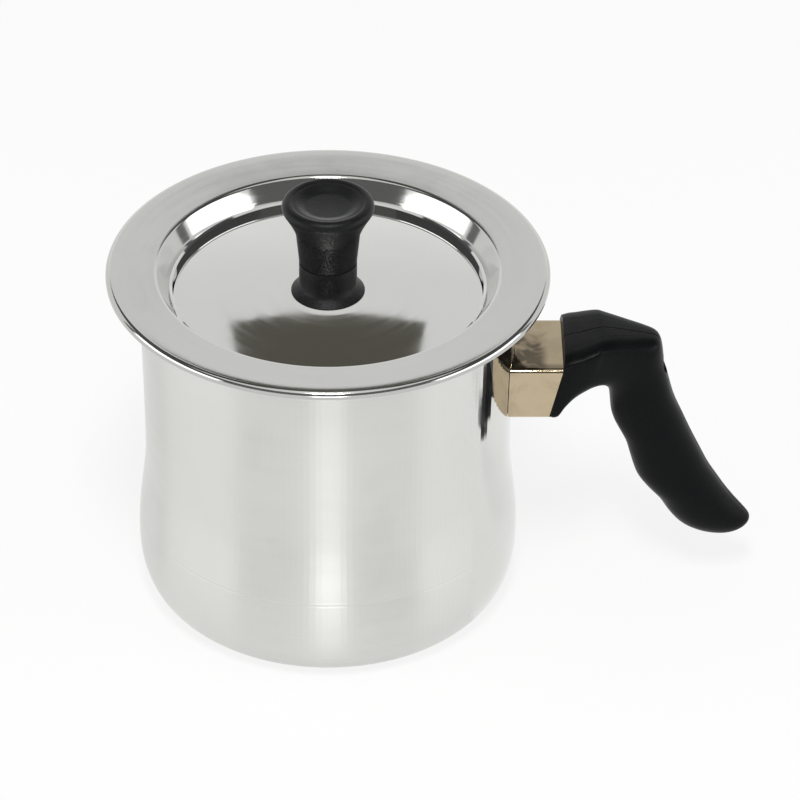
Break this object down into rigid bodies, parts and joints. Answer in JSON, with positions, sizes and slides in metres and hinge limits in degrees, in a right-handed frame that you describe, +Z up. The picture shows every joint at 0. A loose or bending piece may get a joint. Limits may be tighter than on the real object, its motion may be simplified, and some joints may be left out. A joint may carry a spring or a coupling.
{
  "type": "milk boiler",
  "caption": "Double-walled steel milk boiler with a wide flat rim, a recessed dished lid with a knob, a filler duct, a pistol grip and a push-in whistle.",
  "frame": {"origin": "on the pot's axis, on the flat base that it stands on", "axes": "+Z up along the pot's axis; +X towards the pistol grip; the object is symmetric about the XZ plane"},
  "size_m": [0.2811, 0.19, 0.1944],
  "materials": {
    "jacket_steel": "polished",
    "rim_steel": "polished",
    "lid_steel": "polished",
    "duct_steel": "mirror polished",
    "plain_steel": "satin",
    "brass": "machined",
    "phenolic": "satin moulded phenolic",
    "seal_rubber": "matt"
  },
  "bodies": {
    "pot": {"outer_shell": "jacket_steel", "inner_pot": "rim_steel", "filler_duct": "duct_steel", "duct_end_plate": "plain_steel", "duct_gasket": "seal_rubber", "duct_boss": "plain_steel", "hollow_bolt": "brass", "bolt_washer": "plain_steel", "handle_grip": "phenolic"},
    "lid": {"lid_disc": "lid_steel", "knob_foot": "phenolic", "knob_head": "phenolic", "knob_insert": "brass", "knob_screw": "plain_steel", "lid_washer": "plain_steel"},
    "whistle": {"whistle_body": "brass", "whistle_sleeve": "seal_rubber", "whistle_disc": "brass"}
  },
  "joints": [
    {"name": "lid_lift", "type": "slide", "parent": "pot", "child": "lid", "axis": [0, 0, 1], "range_m": [0, 0.12]},
    {"name": "whistle_pull", "type": "slide", "parent": "pot", "child": "whistle", "axis": [1, 0, 0], "range_m": [0, 0.03]}
  ]
}
